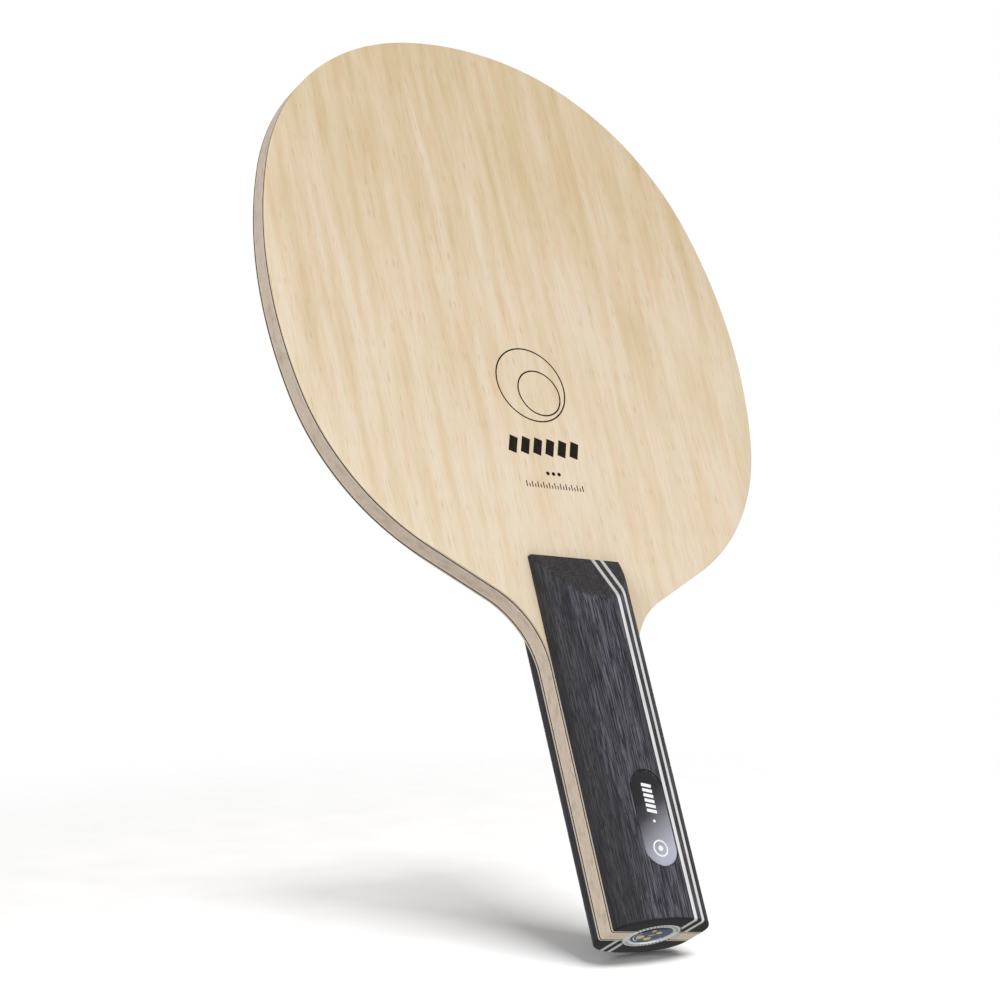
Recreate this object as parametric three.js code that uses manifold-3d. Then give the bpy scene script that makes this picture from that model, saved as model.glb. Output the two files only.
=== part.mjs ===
// A shakehand table tennis blade: seven glued plies cut to one outline, and a straight handle made of
// two laminated wooden scales glued to the front and the back of the blade's tang.
//
// Millimetres. +Z runs up the handle to the crown of the head, -Y is the front face and +X is to the
// right of a person who looks at it. The origin is the centre of the flat end of the handle.

import * as THREE from 'three';
import { mergeVertices } from 'three/addons/utils/BufferGeometryUtils.js';
import Module from 'manifold-3d';

// ---- Driving dimensions -------------------------------------------------------------------------

// Outline of the blade
const BLADE_LENGTH = 257; // end of the handle to the crown of the head
const HEAD_WIDTH = 151;
const NECK_RADIUS = 24; // hollow between the head and the handle
const END_CORNER = 0.6; // radius on the corners of the tang
const ARC_STEP = 3; // degrees of turn for each straight step of an arc

// Right half of the head from the crown down, as arcs that run on from each other. The radii are for
// a head 151 wide, and a straight flank and the neck radius follow the last arc.
const HEAD_ARCS = [
  { radius: 88.5, turn: 9.7 }, // crown
  { radius: 69, turn: 61.3 }, // upper shoulder
  { radius: 127.5, turn: 31.4 }, // side
  { radius: 63.5, turn: 47 }, // lower shoulder
];

// Plies, from a face to the middle
const FACE_VENEER = 0.5;
const CARBON_PLY = 0.35;
const INNER_VENEER = 0.55;
const CORE_PLY = 3.3;

// Handle scales
const HANDLE_LENGTH = 100;
const HANDLE_WIDTH = 28;
const SCALE_THICKNESS = 8.9; // from the face of the blade to the crown of the scale
const SCALE_POWER = 2.15; // 2 would make the section half an ellipse, and more makes it squarer
const SCALE_LIP = 1.7; // thickness left at the top edge
const SLOPE_LENGTH = 14.4; // from the top edge down to the full thickness
const END_ROUNDING = 0.6;
const SECTION_STEPS = 32;

// Laminations of a scale, square to the blade, all to the right of its middle
const INLAY_OFFSET = 4.7; // middle of the handle to the first light lamination
const INLAY_WIDTH = 1.2;
const SPACER_WIDTH = 1.7; // dark lamination between the two light ones

// Badge, let into the front scale beside the first light lamination
const BADGE_LENGTH = 25;
const BADGE_WIDTH = 9.7;
const BADGE_HEIGHT = 26.2; // end of the handle to the middle of the badge
const BADGE_WALL = 0.1; // wood left between its pocket and the lamination
const BADGE_POCKET = 1.2; // depth below the crown of the scale
const BADGE_PLATE = 0.45;

// Medallion, let into the end of the handle
const MEDALLION_RADIUS = 7.3;
const MEDALLION_DEPTH = 1.2; // depth of its pocket
const MEDALLION_INSET = 0.1; // its face lies this far inside the end of the handle
const RIM_WIDTH = 1.8;
const CUP_FLOOR = 0.4;
const DISC_THICKNESS = 0.3;

const FIT = 0.2; // clearance all round a let-in piece

// ---- Sizes that follow --------------------------------------------------------------------------

const HALF_HANDLE = HANDLE_WIDTH / 2;
const HALF_BLADE = CORE_PLY / 2 + INNER_VENEER + CARBON_PLY + FACE_VENEER;
const spacerStart = INLAY_OFFSET + INLAY_WIDTH;
const outerInlayStart = spacerStart + SPACER_WIDTH;
const outerInlayEnd = outerInlayStart + INLAY_WIDTH;
const badgeX = INLAY_OFFSET - BADGE_WALL - FIT - BADGE_WIDTH / 2;
const pocketFloor = SCALE_THICKNESS - BADGE_POCKET;
const OVERSIZE = 5; // how far a cutting tool runs past what it cuts

// ---- Materials ----------------------------------------------------------------------------------

const finish = (color, roughness, metalness = 0) =>
  new THREE.MeshStandardMaterial({ color, roughness, metalness });

const FINISH = {
  faceVeneer: () => finish(0xe4d2b4, 0.62),
  carbon: () => finish(0x2f2a27, 0.5),
  innerVeneer: () => finish(0xd6c2a6, 0.7),
  core: () => finish(0xc9b29a, 0.75),
  darkWood: () => finish(0x3c3a40, 0.48),
  lightWood: () => finish(0xdcdad4, 0.5),
  badge: () => finish(0x8a8a90, 0.2, 0.9),
  resin: () => finish(0xdfe3e8, 0.05),
  silver: () => finish(0xc9cdcf, 0.35, 0.6),
  navy: () => finish(0x142a45, 0.35),
};

// ---- Solids -------------------------------------------------------------------------------------

const wasm = await Module();
wasm.setup();

/** Turns a closed three.js geometry into a solid that can be cut and joined. */
function solidOf(geometry) {
  const bare = geometry.clone();
  bare.deleteAttribute('normal');
  bare.deleteAttribute('uv');
  const merged = mergeVertices(bare, 1e-4);
  return new wasm.Manifold(
    new wasm.Mesh({
      numProp: 3,
      vertProperties: Float32Array.from(merged.attributes.position.array),
      triVerts: Uint32Array.from(merged.index.array),
    }),
  );
}

/** Turns a solid back into a three.js geometry with flat-shaded faces. */
function geometryOf(solid) {
  const mesh = solid.getMesh();
  const geometry = new THREE.BufferGeometry();
  geometry.setAttribute('position', new THREE.BufferAttribute(mesh.vertProperties, 3));
  geometry.setIndex(new THREE.BufferAttribute(mesh.triVerts, 1));
  geometry.computeVertexNormals();
  return geometry;
}

/** An outline in X and Z, made as thick as the span from one Y to a greater one. */
function slab(outline, yFrom, yTo) {
  const geometry = new THREE.ExtrudeGeometry(new THREE.Shape(outline), {
    depth: yTo - yFrom,
    bevelEnabled: false,
  });
  geometry.rotateX(Math.PI / 2);
  geometry.translate(0, yTo, 0);
  return geometry;
}

/** A box between two corners. */
function block(low, high) {
  const geometry = new THREE.BoxGeometry(high[0] - low[0], high[1] - low[1], high[2] - low[2]);
  geometry.translate((low[0] + high[0]) / 2, (low[1] + high[1]) / 2, (low[2] + high[2]) / 2);
  return geometry;
}

/** A disc that stands on the Z axis. */
function drum(radius, zFrom, zTo) {
  const geometry = new THREE.CylinderGeometry(radius, radius, zTo - zFrom, 64);
  geometry.rotateX(Math.PI / 2);
  geometry.translate(0, 0, (zFrom + zTo) / 2);
  return geometry;
}

// ---- Blade --------------------------------------------------------------------------------------

/** Points of an arc after its start, clockwise for a positive turn, and where it ends. */
function arcFrom(start, heading, radius, turn) {
  const side = Math.sign(turn);
  const centre = new THREE.Vector2(
    start.x - side * radius * Math.sin(heading),
    start.y - side * radius * Math.cos(heading),
  );
  const steps = Math.max(2, Math.ceil(Math.abs(turn) / THREE.MathUtils.degToRad(ARC_STEP)));
  const points = [];
  for (let i = 1; i <= steps; i++) {
    const angle = heading + (turn * i) / steps;
    points.push(
      new THREE.Vector2(
        centre.x + side * radius * Math.sin(angle),
        centre.y + side * radius * Math.cos(angle),
      ),
    );
  }
  return { points, end: points[points.length - 1], heading: heading + turn };
}

/** Half the width that the head's arcs reach, before they are brought to the head's own width. */
function widthOfArcs() {
  let heading = 0;
  let half = 0;
  for (const { radius, turn } of HEAD_ARCS) {
    const next = Math.min(heading + THREE.MathUtils.degToRad(turn), Math.PI / 2);
    half += radius * (Math.sin(next) - Math.sin(heading));
    heading = next;
  }
  return half;
}

/** Outline of head, neck and tang in X and Z, from the crown down the right side and up the left. */
function bladeOutline() {
  const scale = HEAD_WIDTH / 2 / widthOfArcs();
  let place = new THREE.Vector2(0, BLADE_LENGTH);
  let heading = 0;
  const right = [place];
  for (const { radius, turn } of HEAD_ARCS) {
    const arc = arcFrom(place, heading, radius * scale, THREE.MathUtils.degToRad(turn));
    right.push(...arc.points);
    place = arc.end;
    heading = arc.heading;
  }
  const neckX = HALF_HANDLE + NECK_RADIUS * (1 - Math.sin(heading));
  place = new THREE.Vector2(neckX, place.y + (place.x - neckX) * Math.tan(heading));
  right.push(place);
  const neck = arcFrom(place, heading, NECK_RADIUS, Math.PI / 2 - heading);
  neck.end.x = HALF_HANDLE;
  right.push(...neck.points);
  const corner = new THREE.Vector2(HALF_HANDLE, END_CORNER);
  right.push(corner, ...arcFrom(corner, Math.PI / 2, END_CORNER, Math.PI / 2).points);
  const left = right.slice(1).reverse();
  return [...right, ...left.map((p) => new THREE.Vector2(-p.x, p.y))];
}

const medallionPocket = solidOf(drum(MEDALLION_RADIUS + FIT, -OVERSIZE, MEDALLION_DEPTH));
const outline = bladeOutline();

/** One ply of the blade, cut away where the medallion goes in. */
function ply(yFrom, yTo) {
  return geometryOf(solidOf(slab(outline, yFrom, yTo)).subtract(medallionPocket));
}

// ---- Handle scales ------------------------------------------------------------------------------

/** Half of a superellipse over the blade's front face, from +X round to -X, at one height. */
function scaleSection(inset, z) {
  const points = [];
  for (let i = 0; i <= SECTION_STEPS; i++) {
    const t = (Math.PI * i) / SECTION_STEPS;
    const along = Math.sign(Math.cos(t)) * Math.abs(Math.cos(t)) ** (2 / SCALE_POWER);
    const out = i % SECTION_STEPS === 0 ? 0 : Math.sin(t) ** (2 / SCALE_POWER);
    points.push(
      new THREE.Vector3(
        (HALF_HANDLE - inset) * along,
        -HALF_BLADE - (SCALE_THICKNESS - inset) * out,
        z,
      ),
    );
  }
  return points;
}

/** Joins sections with the same number of points into one closed solid. */
function loft(sections) {
  const count = sections[0].length;
  const last = (sections.length - 1) * count;
  const index = [];
  for (let s = 0; s < sections.length - 1; s++) {
    for (let i = 0; i < count; i++) {
      const a = s * count + i;
      const b = s * count + ((i + 1) % count);
      index.push(a, a + count, b, b, a + count, b + count);
    }
  }
  for (let i = 1; i < count - 1; i++) {
    index.push(0, i, i + 1);
    index.push(last, last + i + 1, last + i);
  }
  const geometry = new THREE.BufferGeometry().setFromPoints(sections.flat());
  geometry.setIndex(index);
  return geometry;
}

/** The whole front scale before it is divided: rounded end, sloped top, pocket for the medallion. */
function wholeScale() {
  const sections = [0, 30, 60, 90].map((degrees) => {
    const angle = THREE.MathUtils.degToRad(degrees);
    return scaleSection(END_ROUNDING * (1 - Math.sin(angle)), END_ROUNDING * (1 - Math.cos(angle)));
  });
  sections.push(scaleSection(0, HANDLE_LENGTH));
  // Everything in front of the slope, as an outline in Y and Z
  const lipY = -HALF_BLADE - SCALE_LIP;
  const crownY = -HALF_BLADE - SCALE_THICKNESS;
  const rise = SLOPE_LENGTH / (lipY - crownY);
  const above = new THREE.Shape([
    new THREE.Vector2(lipY + OVERSIZE, HANDLE_LENGTH + OVERSIZE * rise),
    new THREE.Vector2(crownY - OVERSIZE, HANDLE_LENGTH + OVERSIZE * rise),
    new THREE.Vector2(crownY - OVERSIZE, HANDLE_LENGTH - SLOPE_LENGTH - OVERSIZE * rise),
  ]);
  const depth = HANDLE_WIDTH + 2 * OVERSIZE;
  const cut = new THREE.ExtrudeGeometry(above, { depth, bevelEnabled: false });
  // The outline's X becomes Y, its Y becomes Z, and its depth runs along X
  cut.applyMatrix4(new THREE.Matrix4().set(0, 0, 1, -depth / 2, 1, 0, 0, 0, 0, 1, 0, 0, 0, 0, 0, 1));
  return solidOf(loft(sections)).subtract(solidOf(cut)).subtract(medallionPocket);
}

/** The part of a solid between two planes square to X. */
function between(solid, xFrom, xTo) {
  const high = HANDLE_LENGTH + OVERSIZE;
  return solid.intersect(solidOf(block([xFrom, -high, -OVERSIZE], [xTo, high, high])));
}

const scale = wholeScale();
const LAMINATIONS = [
  { name: 'main_block', from: -HALF_HANDLE - OVERSIZE, to: INLAY_OFFSET, look: FINISH.darkWood },
  { name: 'inner_light_lamination', from: INLAY_OFFSET, to: spacerStart, look: FINISH.lightWood },
  { name: 'dark_spacer_lamination', from: spacerStart, to: outerInlayStart, look: FINISH.darkWood },
  {
    name: 'outer_light_lamination',
    from: outerInlayStart,
    to: outerInlayEnd,
    look: FINISH.lightWood,
  },
  {
    name: 'dark_edge_lamination',
    from: outerInlayEnd,
    to: HALF_HANDLE + OVERSIZE,
    look: FINISH.darkWood,
  },
];

// ---- Badge --------------------------------------------------------------------------------------

/** A pill, upright in X and Z, grown all round by a clearance. */
function badgeOutline(grow) {
  const radius = BADGE_WIDTH / 2 + grow;
  const straight = (BADGE_LENGTH - BADGE_WIDTH) / 2;
  const pill = new THREE.Path();
  pill.absarc(badgeX, BADGE_HEIGHT + straight, radius, 0, Math.PI, false);
  pill.absarc(badgeX, BADGE_HEIGHT - straight, radius, Math.PI, 2 * Math.PI, false);
  return pill.getPoints(20);
}

/** The badge's outline between two distances from the face of the blade. */
function badgeSlab(grow, from, to) {
  return solidOf(slab(badgeOutline(grow), -HALF_BLADE - to, -HALF_BLADE - from));
}

const badgePocket = badgeSlab(FIT, pocketFloor, SCALE_THICKNESS + OVERSIZE);
const badgePlate = badgeSlab(0, pocketFloor, pocketFloor + BADGE_PLATE);
// The lens fills the rest of the pocket and ends in the same curve as the scale
const badgeLens = badgeSlab(0, pocketFloor + BADGE_PLATE, SCALE_THICKNESS + OVERSIZE).intersect(scale);

// ---- Medallion ----------------------------------------------------------------------------------

/** A turned solid about Z, from a profile of radius and height that starts and ends on the axis. */
function turned(profile) {
  const points = profile.map(([radius, z]) => new THREE.Vector2(radius, z));
  const geometry = new THREE.LatheGeometry(points, 64);
  geometry.rotateX(Math.PI / 2);
  return geometryOf(solidOf(geometry));
}

const discRadius = MEDALLION_RADIUS - RIM_WIDTH - FIT;
const cupFloorZ = MEDALLION_DEPTH - CUP_FLOOR;
const discFaceZ = cupFloorZ - DISC_THICKNESS;

const medallionCup = turned([
  [0, cupFloorZ],
  [MEDALLION_RADIUS - RIM_WIDTH, cupFloorZ],
  [MEDALLION_RADIUS - RIM_WIDTH, MEDALLION_INSET],
  [MEDALLION_RADIUS, MEDALLION_INSET],
  [MEDALLION_RADIUS, MEDALLION_DEPTH],
  [0, MEDALLION_DEPTH],
]);
const medallionDisc = turned([
  [0, discFaceZ],
  [discRadius, discFaceZ],
  [discRadius, cupFloorZ],
  [0, cupFloorZ],
]);
const medallionLens = turned([
  [0, MEDALLION_INSET],
  [discRadius * 0.8, MEDALLION_INSET + (discFaceZ - MEDALLION_INSET) * 0.2],
  [discRadius, MEDALLION_INSET + (discFaceZ - MEDALLION_INSET) * 0.5],
  [discRadius, discFaceZ],
  [0, discFaceZ],
]);

// ---- Assembly -----------------------------------------------------------------------------------

const blade = new THREE.Group();

/** Adds one named piece to a group. */
function add(group, name, geometry, look) {
  const mesh = new THREE.Mesh(geometry, look());
  mesh.name = name;
  group.add(mesh);
}

const plies = new THREE.Group();
blade.add(plies);
let edge = CORE_PLY / 2;
add(plies, 'core_ply', ply(-edge, edge), FINISH.core);
for (const [name, thickness, look] of [
  ['inner_veneer', INNER_VENEER, FINISH.innerVeneer],
  ['carbon_ply', CARBON_PLY, FINISH.carbon],
  ['face_veneer', FACE_VENEER, FINISH.faceVeneer],
]) {
  add(plies, `front_${name}`, ply(-edge - thickness, -edge), look);
  add(plies, `back_${name}`, ply(edge, edge + thickness), look);
  edge += thickness;
}

const frontHandle = new THREE.Group();
const backHandle = new THREE.Group();
backHandle.rotation.z = Math.PI; // the back scale is the same piece, turned about the handle
blade.add(frontHandle, backHandle);
for (const { name, from, to, look } of LAMINATIONS) {
  const lamination = between(scale, from, to);
  const front = name === 'main_block' ? lamination.subtract(badgePocket) : lamination;
  add(frontHandle, `front_scale_${name}`, geometryOf(front), look);
  add(backHandle, `back_scale_${name}`, geometryOf(lamination), look);
}

add(frontHandle, 'badge_plate', geometryOf(badgePlate), FINISH.badge);
add(frontHandle, 'badge_lens', geometryOf(badgeLens), FINISH.resin);

add(blade, 'medallion_cup', medallionCup, FINISH.silver);
add(blade, 'medallion_disc', medallionDisc, FINISH.navy);
add(blade, 'medallion_lens', medallionLens, FINISH.resin);

export default blade;
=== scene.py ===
"""Looks for a laminated table tennis blade with a straight handle of two wooden scales.

The frame is the CAD part's: +Z runs up the handle to the crown of the head, -Y is the front face
and the origin is the centre of the handle's flat end. Shapes are worked out in millimetres.
"""

import math

import bmesh
import bpy
import numpy as np
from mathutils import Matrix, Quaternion, Vector


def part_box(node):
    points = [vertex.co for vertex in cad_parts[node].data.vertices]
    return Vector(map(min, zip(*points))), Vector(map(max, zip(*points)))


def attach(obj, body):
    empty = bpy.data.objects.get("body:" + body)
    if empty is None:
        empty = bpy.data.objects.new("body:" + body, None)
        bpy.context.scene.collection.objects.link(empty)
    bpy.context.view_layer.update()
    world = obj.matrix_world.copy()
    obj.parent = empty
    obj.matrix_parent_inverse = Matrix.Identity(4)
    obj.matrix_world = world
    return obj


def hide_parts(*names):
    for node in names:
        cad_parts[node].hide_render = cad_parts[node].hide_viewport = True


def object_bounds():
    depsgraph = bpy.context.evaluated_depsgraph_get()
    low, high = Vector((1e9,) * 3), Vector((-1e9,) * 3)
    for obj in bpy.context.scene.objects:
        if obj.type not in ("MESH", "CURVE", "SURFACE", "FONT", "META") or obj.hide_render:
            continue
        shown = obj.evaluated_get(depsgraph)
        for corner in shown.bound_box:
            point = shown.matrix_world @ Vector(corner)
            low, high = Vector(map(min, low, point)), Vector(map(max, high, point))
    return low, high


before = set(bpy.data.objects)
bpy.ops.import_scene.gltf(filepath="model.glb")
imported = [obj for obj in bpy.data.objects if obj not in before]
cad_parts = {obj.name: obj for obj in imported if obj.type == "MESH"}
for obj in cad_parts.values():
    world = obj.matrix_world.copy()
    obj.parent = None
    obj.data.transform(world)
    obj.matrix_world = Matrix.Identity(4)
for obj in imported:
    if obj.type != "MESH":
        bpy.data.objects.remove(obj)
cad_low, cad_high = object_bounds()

MM = 0.001
PIECES = []  # every piece of the object, in the order of its making

# ---- Sizes of the blade, in millimetres ---------------------------------------------------------


def low_corner(node):
    """Lowest corner of a CAD node, in millimetres."""
    return np.array(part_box(node)[0]) / MM


def high_corner(node):
    """Highest corner of a CAD node, in millimetres."""
    return np.array(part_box(node)[1]) / MM


LENGTH = cad_high.z / MM
HALF_HEAD = cad_high.x / MM
FACE_Y = low_corner("front_face_veneer")[1]
HALF_HANDLE = high_corner("front_scale_dark_edge_lamination")[0]
HANDLE_TOP = high_corner("front_scale_main_block")[2]
SCALE_THICKNESS = FACE_Y - low_corner("front_scale_main_block")[1]

# Arcs of the right half of the head from the crown down: radius, and how far it turns in degrees
HEAD_ARCS = [(88.5, 9.7), (69, 61.3), (127.5, 31.4), (63.5, 47)]
NECK_RADIUS = 24
TANG_CORNER = 0.6
CORNER_STEP = 15  # degrees between the points of the tang's corner
EDGE_ROUNDING = 0.45  # sanded round the head where the face turns into the edge
ROUNDING_TOP = HANDLE_TOP + 4  # above this height the edge has its whole rounding
ROUNDING_END = HANDLE_TOP - 1  # below this height the edge is square, under the scales

SCALE_POWER = 2.15  # of the superellipse that is the scale's section
SCALE_LIP = 1.7
SLOPE_LENGTH = 14.4
SLOPE_BLEND = 0.7  # how softly the slope runs into the crown of the scale
BLEND_LENGTH = 4  # below the slope, over which the rows are as close as on it
LIP_ROUNDING = 0.35
END_ROUNDING = 0.6

MEDALLION_DEPTH = high_corner("medallion_cup")[2]
MEDALLION_RADIUS = high_corner("medallion_cup")[0]
POCKET_GAP = 0.2
POCKET_RADIUS = MEDALLION_RADIUS + POCKET_GAP
PAST = 1  # how far a pocket's cutter stands out of the wood

INK_HEIGHT = 0.02  # how far a print stands on what it is printed on
INK_IN_WOOD = 0.01  # how far it reaches into wood, so that no gap shows
INK_IN_PLATE = 0.005
LENS_GAP = 0.04  # from a lens to the plate or disc below it, which leaves room for a print
WELD_DISTANCE = 0.0005
SHARP_ANGLE = 30  # degrees between two faces, past which the edge between them stays sharp


# ---- Meshes -------------------------------------------------------------------------------------


def finish_mesh(mesh):
    """Welds the seams and poles, turns the faces outwards and keeps only real edges sharp."""
    shell = bmesh.new()
    shell.from_mesh(mesh)
    bmesh.ops.remove_doubles(shell, verts=shell.verts, dist=WELD_DISTANCE * MM)
    bmesh.ops.recalc_face_normals(shell, faces=shell.faces)
    shell.to_mesh(mesh)
    shell.free()
    mesh.shade_smooth()
    mesh.set_sharp_from_angle(angle=math.radians(SHARP_ANGLE))


def mesh_of(name, shape):
    """A finished mesh from a shape, which is its points in millimetres and its faces."""
    points, faces = shape
    mesh = bpy.data.meshes.new(name)
    mesh.from_pydata((points * MM).tolist(), [], faces.tolist())
    finish_mesh(mesh)
    return mesh


def make_piece(name, shape, material, slot, *stands_for):
    """Makes a piece that rides on the part's one body, and hides the CAD nodes that it stands for."""
    mesh = mesh_of(name, shape)
    mesh.materials.append(material)
    piece = bpy.data.objects.new(name, mesh)
    bpy.context.scene.collection.objects.link(piece)
    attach(piece, "root")
    if stands_for:
        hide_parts(*stands_for)
    PIECES.append(piece)
    return piece


def cells(rows, columns):
    """Four corner indices of each cell of a grid that is stored row by row."""
    start = np.arange((rows - 1) * columns).reshape(rows - 1, columns)[:, :-1].reshape(-1, 1)
    return start + np.array([0, 1, columns + 1, columns])


def rim(rows, columns):
    """Indices round the border of a grid that is stored row by row."""
    index = np.arange(rows * columns).reshape(rows, columns)
    return np.concatenate([index[0, :-1], index[:-1, -1], index[-1, :0:-1], index[:0:-1, 0]])


def ribbon_of(first, second):
    """Quads that join two closed loops with the same number of points."""
    return np.stack([first, np.roll(first, -1), np.roll(second, -1), second], 1)


def sandwich(top, bottom):
    """A closed solid between two grids of the same size: both grids, and a wall round their borders."""
    rows, columns, _ = top.shape
    faces = cells(rows, columns)
    count = rows * columns
    border = rim(rows, columns)
    walls = ribbon_of(border, border + count)
    points = np.concatenate([top.reshape(-1, 3), bottom.reshape(-1, 3)])
    return points, np.concatenate([faces, faces + count, walls])


def at_depth(x, y, z):
    """A grid of points at one depth."""
    return np.stack([x, np.full(x.shape, y), z], 2)


def join(shapes):
    """Several shapes as one."""
    starts = np.cumsum([0] + [len(points) for points, _ in shapes[:-1]])
    faces = [shape_faces + start for (_, shape_faces), start in zip(shapes, starts)]
    return np.concatenate([points for points, _ in shapes]), np.concatenate(faces)


def turned(profile, sides=96):
    """A solid turned about Z: each profile point (r, z) becomes the ring (r cos a, r sin a, z)."""
    angles = np.linspace(0, 2 * np.pi, sides + 1)
    radius, height = np.array(profile, float).T[:, :, None]
    level = height + 0 * angles
    points = np.stack([radius * np.cos(angles), radius * np.sin(angles), level], 2)
    return points.reshape(-1, 3), cells(len(profile), sides + 1)


def turned_about_handle(shape):
    """A shape after half a turn about the handle, which takes the front scale to the back."""
    points, faces = shape
    return points * np.array([-1, -1, 1]), faces


def cut_away(piece, *tools):
    """Cuts tools out of a piece and keeps the result as its mesh."""
    for tool in tools:
        mesh = mesh_of("cutter", tool)
        cutter = bpy.data.objects.new("cutter", mesh)
        bpy.context.scene.collection.objects.link(cutter)
        pocket = piece.modifiers.new("pocket", "BOOLEAN")
        pocket.operation = "DIFFERENCE"
        pocket.solver = "EXACT"
        pocket.object = cutter
        bpy.context.view_layer.update()
        shaped = piece.evaluated_get(bpy.context.evaluated_depsgraph_get())
        result = bpy.data.meshes.new_from_object(shaped)
        piece.modifiers.clear()
        piece.data = result
        bpy.data.objects.remove(cutter)
        bpy.data.meshes.remove(mesh)
    finish_mesh(piece.data)


# ---- Materials ----------------------------------------------------------------------------------


MULTIPLY = {"data_type": "RGBA", "blend_type": "MULTIPLY"}


def linear(hex_colour):
    """A colour as the shader wants it, from its sRGB hex value."""
    value = np.array([int(hex_colour[i : i + 2], 16) for i in (1, 3, 5)]) / 255
    curve = np.where(value <= 0.04045, value / 12.92, ((value + 0.055) / 1.055) ** 2.4)
    return (*curve.tolist(), 1.0)


def add(tree, kind, inputs=(), output=None, stops=None, **settings):
    """Adds a node with its settings, a ramp's stops, and its inputs as values or links.

    The inputs are named, or are a list in the order of the sockets: a Map Range's are the value,
    the range that it comes from and the range that it is brought to. Returns the named output, or
    else the first one in use.
    """
    made = tree.nodes.new("ShaderNode" + kind)
    for name, value in settings.items():
        setattr(made, name, value)
    for key, value in inputs.items() if isinstance(inputs, dict) else enumerate(inputs):
        if isinstance(key, str):
            key = next(i for i, s in enumerate(made.inputs) if s.enabled and s.name == key)
        if isinstance(value, bpy.types.NodeSocket):
            tree.links.new(value, made.inputs[key])
        else:
            made.inputs[key].default_value = value
    if stops:
        ramp = made.color_ramp.elements
        while len(ramp) < len(stops):
            ramp.new(0.5)
        for element, (place, colour) in zip(ramp, stops):
            element.position = place
            element.color = linear(colour)
    if output:
        return made.outputs[output]
    return next(s for s in made.outputs if s.enabled)


def new_material(name):
    """An empty material, its node tree and the place of a point on the object."""
    material = bpy.data.materials.new(name)
    material.use_nodes = True
    material.node_tree.nodes.clear()
    return material, material.node_tree, add(material.node_tree, "TexCoord", output="Object")


def end_tree(tree, shader, kind="Material"):
    """Links a shader to the output of a material, or of the world."""
    out = tree.nodes.new(f"ShaderNodeOutput{kind}")
    tree.links.new(shader, out.inputs["Surface"])


def finish_material(material, inputs):
    """Ends a material with one Principled shader, and gives it back."""
    tree = material.node_tree
    end_tree(tree, add(tree, "BsdfPrincipled", inputs))
    return material


def figure(tree, source, size, detail, shift=(0, 0, 0)):
    """A soft random figure whose cells are so many millimetres in X, Y and Z."""
    scale = tuple(1 / (length * MM) for length in size)
    spread = add(tree, "Mapping", {"Vector": source, "Scale": scale, "Location": shift})
    return add(tree, "TexNoise", {"Vector": spread, "Scale": 1.0, "Detail": detail})


def bent_grain(tree, place, sway, shift):
    """Places that sway sideways by so many millimetres as they go up the wood."""
    wave = figure(tree, place, (55, 200, 110), 1.0, shift)
    push = add(tree, "Math", [wave, 2 * sway * MM, -sway * MM], operation="MULTIPLY_ADD")
    offset = add(tree, "CombineXYZ", {"X": push})
    return add(tree, "VectorMath", [place, offset], operation="ADD")


def turned_to(tree, axis, start, end, most):
    """How far a surface faces along an axis, either way: nothing where its normal's share along the
    axis is at the start, and the most at the end."""
    normal = add(tree, "NewGeometry", output="Normal")
    share = add(tree, "SeparateXYZ", {"Vector": normal}, output=axis)
    size = add(tree, "Math", [share], operation="ABSOLUTE")
    return add(tree, "MapRange", [size, start, end, 0.0, most])


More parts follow.
